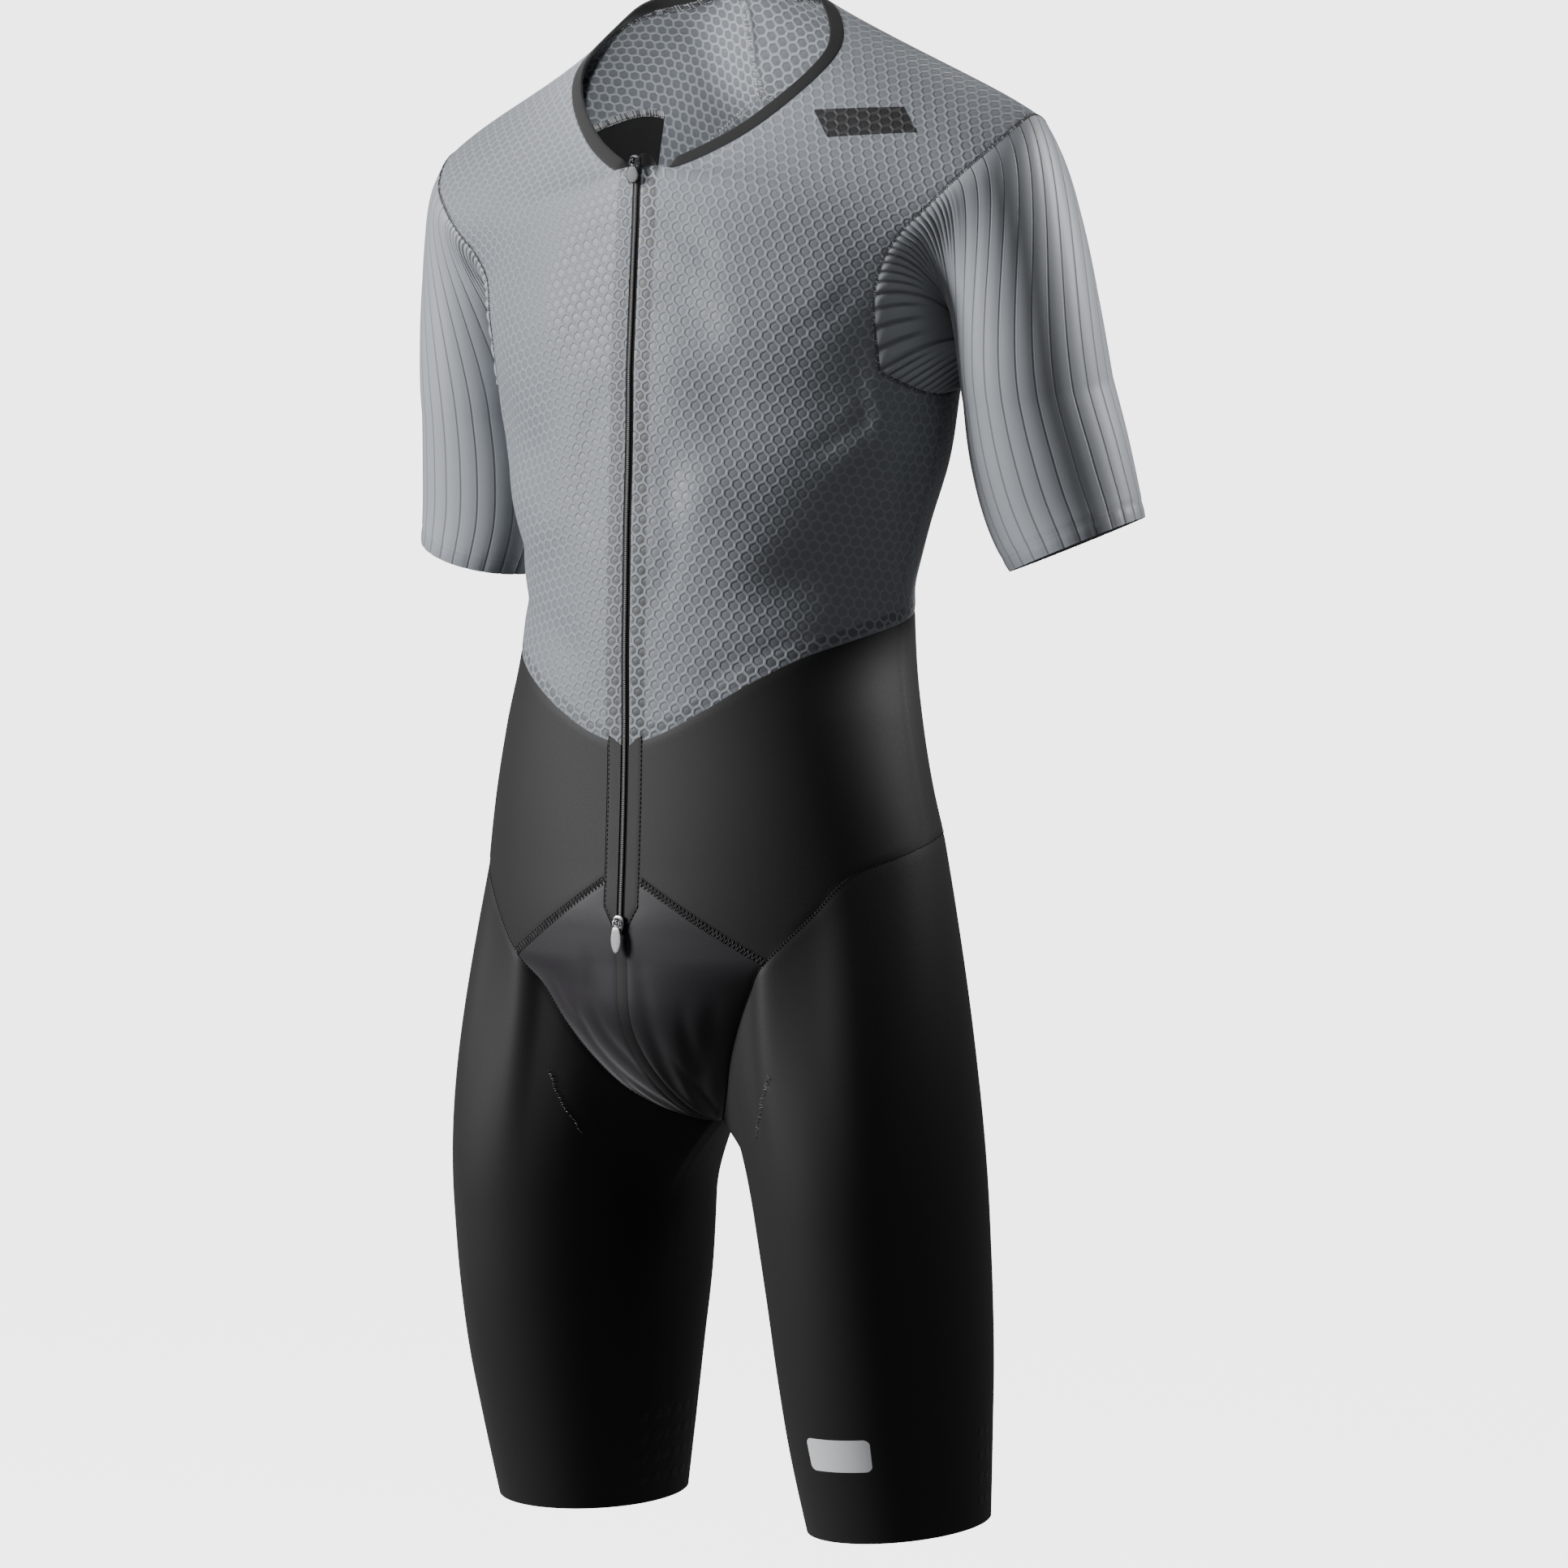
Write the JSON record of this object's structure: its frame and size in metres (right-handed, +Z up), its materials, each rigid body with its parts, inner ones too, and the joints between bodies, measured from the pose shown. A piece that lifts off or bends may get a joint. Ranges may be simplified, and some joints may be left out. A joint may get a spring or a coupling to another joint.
{
  "type": "cycling skinsuit",
  "caption": "Short-sleeved one-piece cycling skinsuit with a front zip, mesh upper body, ribbed sleeves and plain legs, hollow as worn.",
  "frame": {"origin": "midway between the tops of the two shoulders, where the wearer holds the suit up", "axes": "+X towards the wearer's left, -Y towards the front, +Z up"},
  "size_m": [0.5682, 0.2382, 1.0112],
  "materials": {
    "grey_mesh": "embossed mesh knit",
    "grey_ribbed": "smooth stretch knit with fine grooves",
    "black_lycra": "matt stretch knit",
    "black_insert": "stretch knit with a faint sheen",
    "black_tape": "woven tape",
    "black_coil": "moulded coil",
    "silver_metal": "satin plated"
  },
  "bodies": {
    "suit": {"mesh_front_left": "grey_mesh", "mesh_front_right": "grey_mesh", "mesh_back_left": "grey_mesh", "mesh_back_right": "grey_mesh", "sleeve_left": "grey_ribbed", "sleeve_right": "grey_ribbed", "underarm_gusset_left": "grey_ribbed", "underarm_gusset_right": "grey_ribbed", "front_hip_panel_left": "black_lycra", "front_hip_panel_right": "black_lycra", "seat_panel_left": "black_lycra", "seat_panel_right": "black_lycra", "front_insert_left": "black_insert", "front_insert_right": "black_insert", "zip_placket_left": "black_lycra", "zip_placket_right": "black_lycra", "leg_left": "black_lycra", "leg_right": "black_lycra", "neck_binding": "black_tape", "crotch_strip": "black_lycra", "zip_tape_left": "black_tape", "zip_tape_right": "black_tape", "zip_coil": "black_coil", "inner_back_patch": "black_lycra", "zip_slider_top": "silver_metal", "zip_slider_bottom": "silver_metal"},
    "top_pull": {"zip_pull_top": "silver_metal"},
    "bottom_pull": {"zip_pull_bottom": "silver_metal"}
  },
  "joints": [
    {"name": "top_pull_swing", "type": "hinge", "parent": "suit", "child": "top_pull", "pos_m": [0, -0.0982, -0.1105], "axis": [-1, 0, 0], "range_deg": [0, 170]},
    {"name": "bottom_pull_swing", "type": "hinge", "parent": "suit", "child": "bottom_pull", "pos_m": [0, -0.11678, -0.597], "axis": [-1, 0, 0], "range_deg": [0, 170]}
  ]
}
